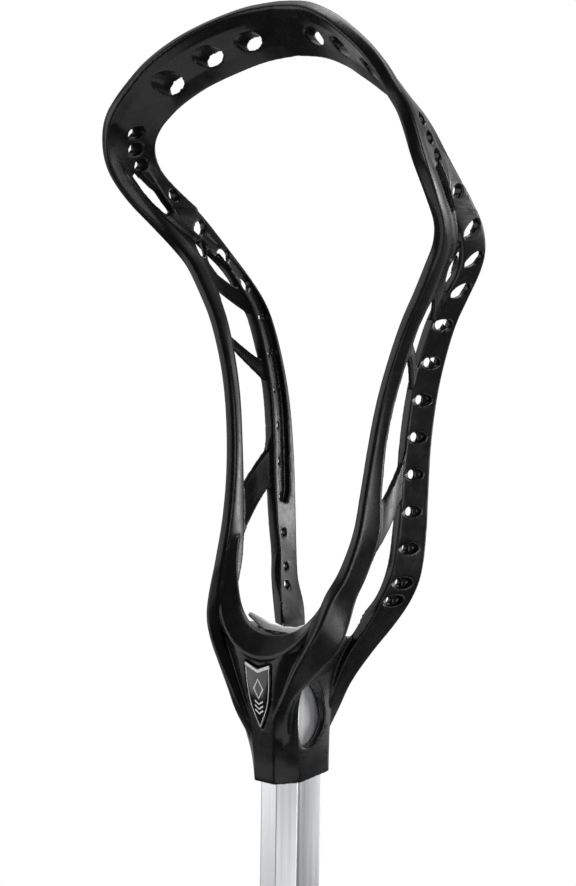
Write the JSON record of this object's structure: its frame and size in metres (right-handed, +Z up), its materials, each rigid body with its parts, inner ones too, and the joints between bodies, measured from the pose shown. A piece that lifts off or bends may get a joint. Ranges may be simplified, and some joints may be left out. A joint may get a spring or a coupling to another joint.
{
  "type": "lacrosse stick",
  "caption": "Unstrung lacrosse stick: a moulded open head with scoop, pierced side walls and foam ball stop, screwed onto an eight-sided tubular shaft with a rubber butt cap.",
  "frame": {"origin": "centre of the flat end of the butt cap", "axes": "+Z along the shaft towards the head, -Y the way the open face of the head looks, +X to the right when looking at the open face from in front turned so that +Z is up"},
  "size_m": [0.1874, 0.0721, 1.0721],
  "materials": {
    "black_nylon": "semi-gloss moulded nylon with a slight grain",
    "white_foam": "soft closed-cell foam sheet",
    "badge_enamel": "polished black enamel with thin silver lines",
    "zinc_steel": "zinc-plated steel",
    "satin_aluminium": "satin anodised, fine lengthwise brushing",
    "black_rubber": "matt moulded rubber"
  },
  "bodies": {
    "stick": {"head_frame": "black_nylon", "ball_stop": "white_foam", "badge": "badge_enamel", "shaft": "satin_aluminium"},
    "cap": {"butt_cap": "black_rubber"},
    "screw": {"head_screw": "zinc_steel"}
  },
  "joints": [
    {"name": "cap_pull", "type": "slide", "parent": "stick", "child": "cap", "axis": [0, 0, -1], "range_m": [0, 0.045]},
    {"name": "screw_draw", "type": "slide", "parent": "stick", "child": "screw", "axis": [0, 1, 0], "range_m": [0, 0.012]}
  ]
}
